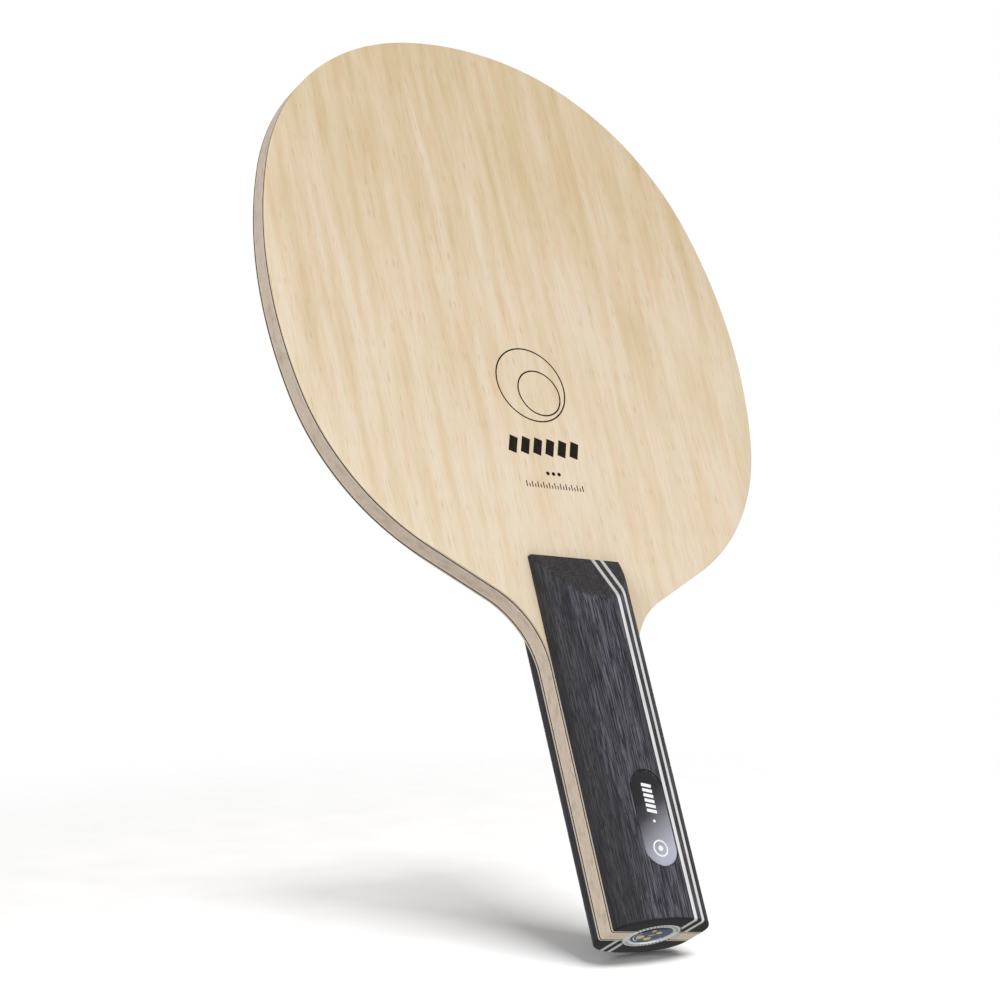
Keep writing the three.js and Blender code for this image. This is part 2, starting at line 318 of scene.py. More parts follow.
def sanded_veneer(name, shift):
    """Pale face veneer, sliced and finely sanded: matt, with soft bands of cream and straw that run
    up the head, fine fibres and short pores. Painted light makes it lighter towards the handle, and
    it is grey at its edge."""
    material, tree, place = new_material(name)
    wood = bent_grain(tree, place, 0.7, shift)
    height = add(tree, "SeparateXYZ", {"Vector": wood}, output="Z")
    # Painted light: the face is made lighter towards the handle and darker towards the crown
    painted_light_paler_low = add(tree, "MapRange", [height, HANDLE_TOP * MM, LENGTH * MM, 0.14, -0.18])
    bands = figure(tree, wood, (4.2, 40, 48), 1.5, shift)
    band_place = add(tree, "Math", [bands, painted_light_paler_low], operation="ADD")
    base = add(
        tree, "ValToRGB", {"Fac": band_place},
        stops=[(0.2, "#DFCAA5"), (0.45, "#E8D7BA"), (0.62, "#EDDFC8"), (0.8, "#EFE2CE")]
    )
    tints = figure(tree, wood, (2.3, 40, 26), 1.0, (9, 4, 7))
    tint_tone = add(
        tree, "ValToRGB", {"Fac": tints}, stops=[(0.3, "#FBF7EE"), (0.5, "#FFFDFA"), (0.7, "#FFF5EE")]
    )
    tinted = add(tree, "Mix", {"Factor": 1.0, "A": base, "B": tint_tone}, **MULTIPLY)
    # Fibres are about 0.03 mm wide and are drawn as bundles 0.4 mm wide, to show
    fibres = figure(tree, wood, (0.42, 40, 9), 2.0, shift)
    fibre_tone = add(
        tree, "ValToRGB", {"Fac": fibres}, stops=[(0.28, "#F3EADB"), (0.5, "#FFFFFF"), (0.8, "#FBF8F2")]
    )
    fibred = add(tree, "Mix", {"Factor": 0.6, "A": tinted, "B": fibre_tone}, **MULTIPLY)
    # Pores are 0.1 mm wide and are drawn 0.3 mm wide, to show
    pores = figure(tree, wood, (0.32, 40, 5), 0.0, (2, 5, 3))
    clusters = figure(tree, wood, (8, 40, 45), 1.0, (3, 1, 8))
    crowded = add(tree, "Math", [clusters, 0.22, -0.11], operation="MULTIPLY_ADD")
    likely = add(tree, "Math", [pores, crowded], operation="ADD")
    pore_mask = add(tree, "MapRange", [likely, 0.66, 0.78, 0.0, 0.32])
    pored = add(tree, "Mix", {"Factor": pore_mask, "A": fibred, "B": linear("#C0A074")}, data_type="RGBA")
    cut = turned_to(tree, "Y", 0.7, 0.1, 0.8)
    colour = add(tree, "Mix", {"Factor": cut, "A": pored, "B": linear("#C2B5A6")}, data_type="RGBA")
    relief = add(tree, "Math", [fibres, pore_mask], operation="SUBTRACT")
    bump = add(tree, "Bump", {"Strength": 0.3, "Distance": 0.03 * MM, "Height": relief})
    rough = add(tree, "MapRange", [fibres, 0.2, 0.8, 0.72, 0.6])
    return finish_material(
        material, {"Base Color": colour, "Roughness": rough, "Normal": bump, "Specular IOR Level": 0.3}
    )


def sanded_ply_edge(name, light, dark, pink, shift):
    """Edge of a wooden ply, cut with a router and sanded: lines of fibre run round the head, with
    blotches where the grain turns from long grain to end grain."""
    material, tree, place = new_material(name)
    blotches = figure(tree, place, (3.5, 1.8, 3.5), 4.0, shift)
    base = add(tree, "ValToRGB", {"Fac": blotches}, stops=[(0.32, dark), (0.5, light), (0.66, pink)])
    lines = figure(tree, place, (1.6, 0.16, 1.6), 3.0, shift)
    line_tone = add(
        tree, "ValToRGB", {"Fac": lines}, stops=[(0.3, "#D6CBBE"), (0.5, "#F7F3EE"), (0.7, "#FFFFFF")]
    )
    lined = add(tree, "Mix", {"Factor": 0.6, "A": base, "B": line_tone}, **MULTIPLY)
    # End-grain pores are 0.1 mm across and are drawn 0.3 mm across, to show
    pits = figure(tree, place, (0.3, 0.25, 0.3), 1.0, shift)
    pit_mask = add(tree, "MapRange", [pits, 0.6, 0.78, 0.0, 0.4])
    colour = add(tree, "Mix", {"Factor": pit_mask, "A": lined, "B": linear("#9A8570")}, data_type="RGBA")
    relief = add(tree, "Math", [lines, pit_mask], operation="SUBTRACT")
    bump = add(tree, "Bump", {"Strength": 0.5, "Distance": 0.04 * MM, "Height": relief})
    return finish_material(
        material, {"Base Color": colour, "Roughness": 0.72, "Normal": bump, "Specular IOR Level": 0.3}
    )


def carbon_edge():
    """Woven carbon and aramid set in resin, sanded through at its edge: nearly black, with short
    brown dashes where a tow of aramid is cut."""
    material, tree, place = new_material("carbon_ply_sanded_edge")
    tows = figure(tree, place, (1.1, 0.2, 1.1), 2.0)
    colour = add(
        tree, "ValToRGB", {"Fac": tows},
        stops=[(0.35, "#0E0C0B"), (0.55, "#161312"), (0.66, "#2C231D"), (0.8, "#4A3A2E")]
    )
    bump = add(tree, "Bump", {"Strength": 0.4, "Distance": 0.03 * MM, "Height": tows})
    return finish_material(
        material, {"Base Color": colour, "Roughness": 0.6, "Normal": bump, "Specular IOR Level": 0.25}
    )


def charcoal_wood(name, shift):
    """Open-grained wood dyed charcoal right through and oiled: satin, with fine lighter fibres and
    short black pores along the handle, and a slight violet cast between the bands. It is almost
    black where a cut across the fibres has drunk more dye, darkened further by painted shade for
    the handle's end. The flanks are darker by painted shade."""
    material, tree, place = new_material(name)
    wood = bent_grain(tree, place, 0.5, shift)
    bands = figure(tree, wood, (2.6, 2.6, 48), 2.5, shift)
    base = add(
        tree, "ValToRGB", {"Fac": bands},
        stops=[(0.3, "#4D4C52"), (0.44, "#58565E"), (0.56, "#67646F"), (0.7, "#716F78")]
    )
    # Fibres are about 0.03 mm wide and are drawn as bundles 0.26 mm wide, to show
    fibres = figure(tree, wood, (0.26, 0.26, 7.5), 3.0, shift)
    fibre_tone = add(
        tree, "ValToRGB", {"Fac": fibres}, stops=[(0.38, "#363638"), (0.49, "#A4A4A8"), (0.58, "#FFFFFF")]
    )
    fibred = add(tree, "Mix", {"Factor": 0.9, "A": base, "B": fibre_tone}, **MULTIPLY)
    # Pores are 0.2 mm wide and are drawn 0.3 mm wide, to show
    pores = figure(tree, wood, (0.28, 0.28, 3), 2.0, shift)
    pore_mask = add(tree, "MapRange", [pores, 0.58, 0.66, 0.0, 0.85])
    pitted = add(
        tree, "Mix", {"Factor": pore_mask, "A": fibred, "B": linear("#161618")}, data_type="RGBA"
    )
    # Painted shade: cut ends are darkened past their own darker dye, for the shade on the handle's end
    across = turned_to(tree, "Z", 0.05, 0.6, 0.92)
    ended_and_shaded = add(tree, "Mix", {"Factor": across, "A": pitted, "B": linear("#101010")}, data_type="RGBA")
    # Painted shade: both flanks are darkened, for the shade on the handle's sides
    flank = turned_to(tree, "X", 0.15, 0.7, 0.72)
    colour = add(tree, "Mix", {"Factor": flank, "A": ended_and_shaded, "B": linear("#1E1D1F")}, data_type="RGBA")
    relief = add(tree, "Math", [pore_mask, -1.5, fibres], operation="MULTIPLY_ADD")
    bump = add(tree, "Bump", {"Strength": 0.8, "Distance": 0.07 * MM, "Height": relief})
    rough = add(tree, "MapRange", [fibres, 0.25, 0.75, 0.58, 0.42])
    return finish_material(
        material, {"Base Color": colour, "Roughness": rough, "Normal": bump, "Specular IOR Level": 0.3}
    )


def bleached_strip(shift):
    """Bleached veneer glued between the dark ones and sanded flush: almost white, with faint grey
    fibres along the handle. It is greyer where it is cut across, as end grain and as painted shade
    for the handle's end."""
    material, tree, place = new_material("light_strip_bleached_veneer")
    fibres = figure(tree, place, (0.3, 0.3, 9), 2.0, shift)
    colour = add(
        tree, "ValToRGB", {"Fac": fibres}, stops=[(0.28, "#CFCECC"), (0.45, "#E6E5E4"), (0.6, "#F1F0F0")]
    )
    # Painted shade, with end grain's own darker tone: greyer where cut across, as on the handle's end
    across = turned_to(tree, "Z", 0.05, 0.6, 0.5)
    cut = add(tree, "Mix", {"Factor": across, "A": colour, "B": linear("#8E8A84")}, data_type="RGBA")
    bump = add(tree, "Bump", {"Strength": 0.4, "Distance": 0.03 * MM, "Height": fibres})
    return finish_material(material, {"Base Color": cut, "Roughness": 0.5, "Normal": bump})


def print_ink():
    """Pad-printed ink on wood: dark brown, with lighter specks where the grain has kept it off."""
    material, tree, place = new_material("print_ink_on_wood")
    specks = figure(tree, place, (0.25, 0.25, 1.6), 2.0)
    colour = add(
        tree, "ValToRGB", {"Fac": specks}, stops=[(0.4, "#1C140E"), (0.62, "#261B13"), (0.8, "#4A3725")]
    )
    return finish_material(material, {"Base Color": colour, "Roughness": 0.7, "Specular IOR Level": 0.15})


def badge_foil_painted_reflection():
    """Metal foil with a painted reflection in a blend from black to silver: black at the top and on
    the side of the light strips, bright at the foot, with a very fine brushed grain."""
    material, tree, place = new_material("badge_plate_foil_painted_reflection")
    low, high = low_corner("badge_plate"), high_corner("badge_plate")
    middle = (low + high) / 2 * MM
    lean = math.radians(38)  # of the painted reflection's blend, from straight down
    from_middle = add(tree, "VectorMath", [place, tuple(middle.tolist())], operation="SUBTRACT")
    tilted = add(tree, "Mapping", {"Vector": from_middle, "Rotation": (0, lean, 0)})
    split = add(tree, "SeparateXYZ", {"Vector": tilted}, output="Z")
    half = (high[2] - low[2]) / 2 * MM
    share = add(tree, "MapRange", [split, -half, half, 0.0, 1.0])
    # Painted reflection: silver at the foot running to black at the top
    silver = [(0.02, "#BABBC7"), (0.18, "#B0B1BD"), (0.38, "#88888F")]
    black = [(0.56, "#3A3A3E"), (0.7, "#08080A")]
    colour = add(tree, "ValToRGB", {"Fac": share}, stops=silver + black)
    brushed = figure(tree, place, (0.12, 1, 6), 2.0)
    rough = add(tree, "MapRange", [brushed, 0.2, 0.8, 0.28, 0.42])
    return finish_material(material, {"Base Color": colour, "Metallic": 0.35, "Roughness": rough})


def clear_resin():
    """Clear doming resin, cast: glossy, with the faint unevenness of a poured surface. Its IOR is
    set below a real resin's 1.5, at which so thin a lens looks milky over a dark print."""
    material, tree, place = new_material("lens_clear_cast_resin")
    ripple = figure(tree, place, (3, 3, 3), 1.0)
    bump = add(tree, "Bump", {"Strength": 0.15, "Distance": 0.02 * MM, "Height": ripple})
    glass = add(
        tree,
        "BsdfPrincipled",
        {
            "Base Color": linear("#FDFDFE"),
            "Roughness": 0.03,
            "IOR": 1.2,
            "Transmission Weight": 1.0,
            "Normal": bump,
        },
    )
    # Lamps shine straight through, as they do through so thin a layer
    lamp = add(tree, "LightPath", output="Is Shadow Ray")
    through = add(tree, "BsdfTransparent", {"Color": linear("#F4F5F6")})
    end_tree(tree, add(tree, "MixShader", [lamp, glass, through]))
    return material


def satin_silver():
    """Cast zinc rim with a satin silver plating: soft highlights and a fine cloudy grain."""
    material, tree, place = new_material("medallion_rim_satin_silver")
    cloud = figure(tree, place, (0.5, 0.5, 0.5), 3.0)
    colour = add(tree, "ValToRGB", {"Fac": cloud}, stops=[(0.3, "#DDE3E1"), (0.7, "#F4F8F6")])
    rough = add(tree, "MapRange", [cloud, 0.2, 0.8, 0.34, 0.5])
    bump = add(tree, "Bump", {"Strength": 0.25, "Distance": 0.02 * MM, "Height": cloud})
    return finish_material(
        material, {"Base Color": colour, "Metallic": 0.4, "Roughness": rough, "Normal": bump}
    )


def mottled_print(name, grit, detail, tones, finish):
    """A flat print or foil of two tones that run into each other, mottled at so many millimetres."""
    material, tree, place = new_material(name)
    mottle = figure(tree, place, (grit, grit, grit), detail)
    colour = add(tree, "ValToRGB", {"Fac": mottle}, stops=[(0.3, tones[0]), (0.7, tones[1])])
    return finish_material(material, {"Base Color": colour, **finish})


def navy_print():
    """Navy print on a plastic disc: even, with a slight mottle, and matt under its resin."""
    finish = {"Roughness": 0.5, "Specular IOR Level": 0.1}
    return mottled_print("medallion_disc_navy_print", 1.2, 3.0, ("#0A2038", "#153E60"), finish)


def gold_print():
    """Gold foil stamped on the disc: warm and slightly rough."""
    finish = {"Metallic": 0.4, "Roughness": 0.4}
    return mottled_print("medallion_marks_gold_foil", 0.4, 2.0, ("#DDBB62", "#F8E09A"), finish)


def pale_print(name, tone):
    """Opaque pale ink, screen printed: flat, with a faint screen mottle."""
    return mottled_print(name, 0.3, 2.0, (tone, "#F2F2F2"), {"Roughness": 0.45})


# ---- Blade --------------------------------------------------------------------------------------


def arc_of(place, start, turn, radius):
    """Points of an arc after its start, about one degree apart, and the way each one faces.

    A point is the start plus the radius times the change in (sin h, cos h), where h is the angle
    of the outward normal from +Z. A hollow arc has a negative radius and turns backwards.
    """
    steps = max(4, math.ceil(abs(turn)))
    angles = np.radians(start + turn * np.arange(1, steps + 1) / steps)
    facing = np.stack([np.sin(angles), np.cos(angles)], 1)
    first = np.array([math.sin(math.radians(start)), math.cos(math.radians(start))])
    return place + radius * (facing - first), facing


def half_outline():
    """Right half of the blade's outline from the crown down, and the way each point faces.

    The arcs run on from each other, a straight flank leads to the hollow of the neck, and the
    tang goes straight down to its rounded corner.
    """
    turns = np.cumsum([0] + [turn for _, turn in HEAD_ARCS])
    sines = np.sin(np.radians(np.minimum(turns, 90)))
    reach = sum(r * step for (r, _), step in zip(HEAD_ARCS, np.diff(sines)))
    scale = HALF_HEAD / reach
    points = [np.array([[0.0, LENGTH]])]
    facings = [np.array([[0.0, 1.0]])]
    for (radius, turn), start in zip(HEAD_ARCS, turns):
        arc, facing = arc_of(points[-1][-1], start, turn, radius * scale)
        points.append(arc)
        facings.append(facing)
    heading = turns[-1]
    slope = math.tan(math.radians(heading))
    shoulder = points[-1][-1]
    neck_x = HALF_HANDLE + NECK_RADIUS * (1 - math.sin(math.radians(heading)))
    neck = np.array([neck_x, shoulder[1] + (shoulder[0] - neck_x) * slope])
    points.append(neck[None])
    facings.append(facings[-1][-1:])
    arc, facing = arc_of(neck, heading, 90 - heading, -NECK_RADIUS)
    arc[-1, 0] = HALF_HANDLE
    points.append(arc)
    facings.append(facing)
    heights = np.append(np.linspace(arc[-1, 1], MEDALLION_DEPTH, 18)[1:], TANG_CORNER)
    points.append(np.stack([np.full(len(heights), HALF_HANDLE), heights], 1))
    facings.append(np.tile([1.0, 0.0], (len(heights), 1)))
    arc, facing = arc_of(points[-1][-1], 90, 90, TANG_CORNER)
    points.append(arc[::CORNER_STEP])
    points.append(arc[-1:])
    facings.append(facing[::CORNER_STEP])
    facings.append(facing[-1:])
    return np.concatenate(points), np.concatenate(facings)


OUTLINE, FACING = half_outline()
NOTCH_ROW = int(np.argmin(np.abs(OUTLINE[:, 1] - MEDALLION_DEPTH)))
NOTCH_SHARE = POCKET_RADIUS / HALF_HANDLE
# Shares of the half width: four steps to the notch, two points across it, and four steps again
COLUMNS = np.concatenate(
    [np.linspace(-1, -NOTCH_SHARE, 5), [-0.25, 0.25], np.linspace(NOTCH_SHARE, 1, 5)]
)
NOTCH_LEFT = 4  # columns that stand at the notch's sides
NOTCH_RIGHT = 7


def ply_level(y, inset):
    """The outline filled with rows of points at one depth, its edge drawn in by the inset.

    Each row runs from the left edge to the right at shares of its half width. Below the top of
    the medallion's notch, the shares at its sides stand on the pocket's wall. The inset fades out
    smoothly where the edge runs in under the scales.
    """
    fade = np.clip((OUTLINE[:, 1] - ROUNDING_END) / (ROUNDING_TOP - ROUNDING_END), 0, 1)
    fade = fade * fade * (3 - 2 * fade)
    edge = OUTLINE - FACING * (inset * fade)[:, None]
    half = edge[:, :1]
    wall = math.sqrt(POCKET_RADIUS**2 - y**2)
    in_notch = np.arange(len(edge))[:, None] >= NOTCH_ROW
    notch = np.where(in_notch, wall, half * NOTCH_SHARE)
    share = np.abs(COLUMNS)[None]
    outer = notch + (half - notch) * (share - NOTCH_SHARE) / (1 - NOTCH_SHARE)
    inner = notch * share / NOTCH_SHARE
    x = np.sign(COLUMNS) * np.where(share > NOTCH_SHARE - 1e-9, outer, inner)
    z = np.broadcast_to(edge[:, 1:], x.shape)
    return at_depth(x, y, z)


def ply_border():
    """Indices round a level's border, down the right side, round the notch and up the left."""
    rows, columns = len(OUTLINE), len(COLUMNS)
    index = np.arange(rows * columns).reshape(rows, columns)
    return np.concatenate(
        [
            index[:, -1],
            index[-1, columns - 2 : NOTCH_RIGHT - 1 : -1],
            index[rows - 2 : NOTCH_ROW - 1 : -1, NOTCH_RIGHT],
            index[NOTCH_ROW, NOTCH_RIGHT - 1 : NOTCH_LEFT - 1 : -1],
            index[NOTCH_ROW + 1 :, NOTCH_LEFT],
            index[-1, NOTCH_LEFT - 1 :: -1],
            index[rows - 2 : 0 : -1, 0],
        ]
    )


def ply(levels):
    """A closed ply through levels of (depth, inset), filled at the first and the last."""
    rows, columns = len(OUTLINE), len(COLUMNS)
    grids = [ply_level(y, inset).reshape(-1, 3) for y, inset in levels]
    fill = cells(rows, columns)
    row, column = np.divmod(fill[:, 0], columns)
    in_notch = (row >= NOTCH_ROW) & (column >= NOTCH_LEFT) & (column < NOTCH_RIGHT)
    fill = fill[~in_notch]
    border = ply_border()
    count = rows * columns
    walls = [ribbon_of(border + i * count, border + (i + 1) * count) for i in range(len(levels) - 1)]
    faces = np.concatenate([fill, fill + (len(levels) - 1) * count, *walls])
    used, faces = np.unique(faces, return_inverse=True)
    return np.concatenate(grids)[used], faces.reshape(-1, 4)


def make_ply(node, material, slot, rounded=False):
    """One ply between the faces of its CAD node. A face veneer is rounded round the head."""
    near, far = low_corner(node)[1], high_corner(node)[1]
    levels = [(near, 0), (far, 0)]
    if rounded:
        face, inside = sorted([near, far], key=abs, reverse=True)
        turn = np.radians([0, 18, 36, 54, 72, 90])
        insets = EDGE_ROUNDING * (1 - np.sin(turn))
        depths = face - np.sign(face) * EDGE_ROUNDING * (1 - np.cos(turn))
        levels = [*zip(depths.tolist(), insets.tolist()), (inside, 0)]
    make_piece(node.replace("_", "-"), ply(levels), material, slot, node)


def make_blade():
    """The seven plies: core, inner veneers, carbon plies and face veneers."""
    core = sanded_ply_edge("core_sanded_edge", "#D8CABA", "#C9B8A6", "#DECABC", (0, 0, 0))
    inner = sanded_ply_edge("inner_veneer_sanded_edge", "#E0D2C0", "#D2C1AE", "#E4D3C4", (7, 3, 5))
    make_ply("core_ply", core, "core")
    carbon = carbon_edge()
    for side, shift in (("front", (0, 0, 0)), ("back", (31, 17, 23))):
        make_ply(f"{side}_inner_veneer", inner, "inner_veneer")
        make_ply(f"{side}_carbon_ply", carbon, "carbon_ply")
        veneer = sanded_veneer(f"{side}_veneer_sanded", shift)
        make_ply(f"{side}_face_veneer", veneer, "face_veneer", rounded=True)


# ---- Handle scales ------------------------------------------------------------------------------


def softer_of(first, second, blend):
    """The smaller of two, rounded off where they are within the blend of each other."""
    share = np.clip(0.5 + 0.5 * (second - first) / blend, 0, 1)
    return second + (first - second) * share - blend * share * (1 - share)


def scale_rows():
    """Heights up a scale and how far its section is drawn in at each, by the rounded end."""
    turn = np.radians([0, 15, 30, 45, 60, 75, 90])
    rounding = END_ROUNDING * (1 - np.cos(turn))
    inset = END_ROUNDING * (1 - np.sin(turn))
    straight = np.linspace(END_ROUNDING, HANDLE_TOP - SLOPE_LENGTH - BLEND_LENGTH, 22)[1:]
    slope = np.linspace(straight[-1], HANDLE_TOP - LIP_ROUNDING, 48)[1:]
    lip = HANDLE_TOP - LIP_ROUNDING * (1 - np.sin(turn[1:]))
    heights = np.concatenate([rounding, straight, slope, lip])
    return heights, np.append(inset, np.zeros(len(heights) - len(inset)))


def thickness_limit(heights):
    """How thick the slope lets the scale be at each height, with a rounded top edge."""
    below_top = np.maximum(HANDLE_TOP - heights, 0)
    rise = SCALE_LIP + (SCALE_THICKNESS - SCALE_LIP) * below_top / SLOPE_LENGTH
    into = np.clip(LIP_ROUNDING - below_top, 0, LIP_ROUNDING)
    return rise - (LIP_ROUNDING - np.sqrt(LIP_ROUNDING**2 - into**2))


def section_angle(x, inset):
    """The angle at which the section reaches x: x is its half width times cos t to 2 / power."""
    share = np.clip(x / (HALF_HANDLE - inset), -1, 1)
    return np.arccos(np.sign(share) * np.abs(share) ** (SCALE_POWER / 2))


def lamination(x_from, x_to, columns):
    """A lamination of the front scale between two planes square to X.

    Its section is half a superellipse: x is the half width times cos t, and the thickness is its
    own half axis times sin t, each to 2 / power. The slope limits the thickness.
    """
    heights, inset = scale_rows()
    inset = inset[:, None]
    first, last = section_angle(x_from, inset), section_angle(x_to, inset)
    t = first + (last - first) * np.linspace(0, 1, columns)
    lean = np.abs(np.cos(t)) ** (2 / SCALE_POWER) * np.sign(np.cos(t))
    x = (HALF_HANDLE - inset) * lean
    full = np.abs(np.sin(t)) ** (2 / SCALE_POWER) * (SCALE_THICKNESS - inset)
    limit = thickness_limit(heights)[:, None]
    thick = np.maximum(softer_of(full, limit, SLOPE_BLEND), 0)
    thick = np.where(full < 1e-6, 0, thick)
    z = np.broadcast_to(heights[:, None], x.shape)
    top = np.stack([x, FACE_Y - thick, z], 2)
    base = at_depth(x, FACE_Y, z)
    return sandwich(top, base)


def medallion_pocket():
    """The round pocket in the handle's end."""
    mouth = [(0, -PAST), (POCKET_RADIUS, -PAST)]
    return turned([*mouth, (POCKET_RADIUS, MEDALLION_DEPTH), (0, MEDALLION_DEPTH)], 128)


# Laminations of a scale from the left: the end of the node's name, its slot, columns of the grid
LAMINATIONS = [
    ("main_block", "dark_wood", 49), ("inner_light_lamination", "light_wood", 5),
    ("dark_spacer_lamination", "dark_wood", 6), ("outer_light_lamination", "light_wood", 5),
    ("dark_edge_lamination", "dark_wood", 22)
]


def make_scales(badge_pocket):
    """Both scales, each of five laminations. The back one is the front one after half a turn."""
    block_wood = charcoal_wood("main_block_charcoal_wood", (0, 0, 0))
    strip_wood = charcoal_wood("thin_laminations_charcoal_wood", (41, 13, 29))
    light = bleached_strip((5, 9, 2))
    for name, slot, columns in LAMINATIONS:
        node = f"front_scale_{name}"
        x_from, x_to = low_corner(node)[0], high_corner(node)[0]
        shape = lamination(x_from, x_to, columns)
        wood = light if slot == "light_wood" else strip_wood
        wood = block_wood if name == "main_block" else wood
        for side in ("front", "back"):
            placed = shape if side == "front" else turned_about_handle(shape)
            node = f"{side}_scale_{name}"
            piece = make_piece(node.replace("_", "-"), placed, wood, slot, node)
            pockets = [medallion_pocket()] if x_from < POCKET_RADIUS else []
            if side == "front" and name == "main_block":
                pockets.append(badge_pocket)
            if pockets:
                cut_away(piece, *pockets)


# ---- Badge --------------------------------------------------------------------------------------

BADGE_LOW = low_corner("badge_plate")
BADGE_HIGH = high_corner("badge_plate")
BADGE_RADIUS = (BADGE_HIGH[0] - BADGE_LOW[0]) / 2
BADGE_X = (BADGE_HIGH[0] + BADGE_LOW[0]) / 2
BADGE_Z = (BADGE_HIGH[2] + BADGE_LOW[2]) / 2
BADGE_STRAIGHT = (BADGE_HIGH[2] - BADGE_LOW[2]) / 2 - BADGE_RADIUS
PLATE_FRONT = BADGE_LOW[1]
PLATE_BACK = BADGE_HIGH[1]
LENS_ROUNDING = 0.22


def pill(grow, columns=25):
    """X and Z of a grid that fills a pill, and each point's distance inside its border.

    Rows go up the pill. A row in a round end is as wide as the circle there, and the shares of
    its half width are sines, so that they crowd towards the border.
    """
    radius = BADGE_RADIUS + grow
    turn = np.radians(np.linspace(0, 90, 13))
    ends = radius * np.cos(turn)
    low = -BADGE_STRAIGHT - ends
    straight = np.linspace(-BADGE_STRAIGHT, BADGE_STRAIGHT, 9)[1:-1]
    z = np.concatenate([low, straight, -low[::-1]])
    beyond = np.maximum(np.abs(z) - BADGE_STRAIGHT, 0)
    half = np.sqrt(np.maximum(radius**2 - beyond**2, 0))
    share = np.sin(np.linspace(-np.pi / 2, np.pi / 2, columns))
    x = half[:, None] * share
    inside = radius - np.hypot(x, beyond[:, None])
    return BADGE_X + x, BADGE_Z + np.broadcast_to(z[:, None], x.shape), inside


def scale_surface(x):
    """Y of the front scale's crown at x, below the slope."""
    share = np.abs(x / HALF_HANDLE) ** SCALE_POWER
    return FACE_Y - SCALE_THICKNESS * (1 - share) ** (1 / SCALE_POWER)


def pill_pocket():
    """The pocket for the badge, from the back of its plate out past the scale."""
    x, z, _ = pill(POCKET_GAP)
    top = at_depth(x, FACE_Y - SCALE_THICKNESS - PAST, z)
    return sandwich(top, at_depth(x, PLATE_BACK, z))


def make_badge():
    """Foil plate with a painted reflection, and a resin lens on it that ends in the scale's own
    curve. Gives back the resin, which the medallion's lens is made of too."""
    x, z, inside = pill(0)
    front = at_depth(x, PLATE_FRONT, z)
    back = at_depth(x, PLATE_BACK, z)
    make_piece("badge-plate", sandwich(front, back), badge_foil_painted_reflection(), "badge", "badge_plate")
    into = LENS_ROUNDING - np.clip(inside, 0, LENS_ROUNDING)
    drop = LENS_ROUNDING - np.sqrt(LENS_ROUNDING**2 - into**2)
    crown = np.stack([x, scale_surface(x) + drop, z], 2)
    foot = at_depth(x, PLATE_FRONT - LENS_GAP, z)
    resin = clear_resin()
    make_piece("badge-lens", sandwich(crown, foot), resin, "clear_resin", "badge_lens")
    make_badge_marks()
    return resin


# ---- Marks --------------------------------------------------------------------------------------


def stroke(path, width, low, high, closed=False):
    """A stroke of even width along a path in X and Z, from one depth to another.

    Each point of the path is pushed half the width to either side, along the normal of the line
    through its neighbours. A closed path runs back into its start.
    """
    path = np.array(path, float)
    if closed:
        ahead, behind = np.roll(path, -1, 0), np.roll(path, 1, 0)
    else:
        ahead = np.concatenate([path[1:], 2 * path[-1:] - path[-2:-1]])
        behind = np.concatenate([2 * path[:1] - path[1:2], path[:-1]])
    along = ahead - behind
    along /= np.linalg.norm(along, axis=1, keepdims=True)
    aside = np.stack([along[:, 1], -along[:, 0]], 1) * width / 2
    left, right = path + aside, path - aside
    sides = [(left, low), (left, high), (right, high), (right, low)]
    ring = [np.stack([p[:, 0], np.full(len(p), y), p[:, 1]], 1) for p, y in sides]
    points = np.stack(ring, 1).reshape(-1, 3)
    start = np.arange(len(path) if closed else len(path) - 1)[:, None] * 4
    corner = np.arange(4)
    after = (corner + 1) % 4
    quads = np.stack(
        [start + corner, start + after, start + 4 + after, start + 4 + corner], 2
    ).reshape(-1, 4)
    quads %= len(points)
    if not closed:
        last = len(points) - 4
        quads = np.concatenate([quads, [[0, 1, 2, 3], [last, last + 1, last + 2, last + 3]]])
    return points, quads


def dot(x, z, radius, low, high, sides=24):
    """A small disc: two rings of points and the rows of quads across them, low and high."""
    angle = np.linspace(-np.pi / 2, np.pi / 2, sides // 2 + 1)
    row_x = np.stack([-np.cos(angle), np.cos(angle)], 1) * radius + x
    row_z = np.repeat(np.sin(angle)[:, None] * radius + z, 2, 1)
    front = at_depth(row_x, high, row_z)
    return sandwich(front, at_depth(row_x, low, row_z))


def circle(x, z, radius, steps=72):
    """Points round a circle in X and Z."""
    angle = np.linspace(0, 2 * np.pi, steps, endpoint=False)
    return np.stack([x + radius * np.cos(angle), z + radius * np.sin(angle)], 1)


# Marks on the face: X, height up the blade and size, in millimetres
FACE_RINGS = [(0, 151, 10.8), (2.2, 148.8, 6.6)]
RING_LINE = 0.4
FACE_BAR_XS = np.linspace(-11, 8.6, 6)
FACE_BAR_FOOT, FACE_BAR_TOP = 130.3, 134.9
FACE_BAR_WIDTH = 2.5
FACE_BAR_LEAN = 1.5
FACE_DOTS = [(-1.1, 124.9, 0.55), (0.7, 124.9, 0.55), (2.5, 124.9, 0.55)]
TALL_TICK_XS = np.linspace(-8.7, 9.3, 11)
SHORT_TICK_XS = (TALL_TICK_XS[1:] + TALL_TICK_XS[:-1]) / 2
TICK_FOOT, SHORT_TICK_TOP, TALL_TICK_TOP = 120.5, 121.5, 122.2
TICK_WIDTH = 0.3


def bar(x, foot, top, width, low, high, lean=0):
    """A bar that stands at x and leans over to the right."""
    return stroke([(x, foot), (x + lean, top)], width, low, high)


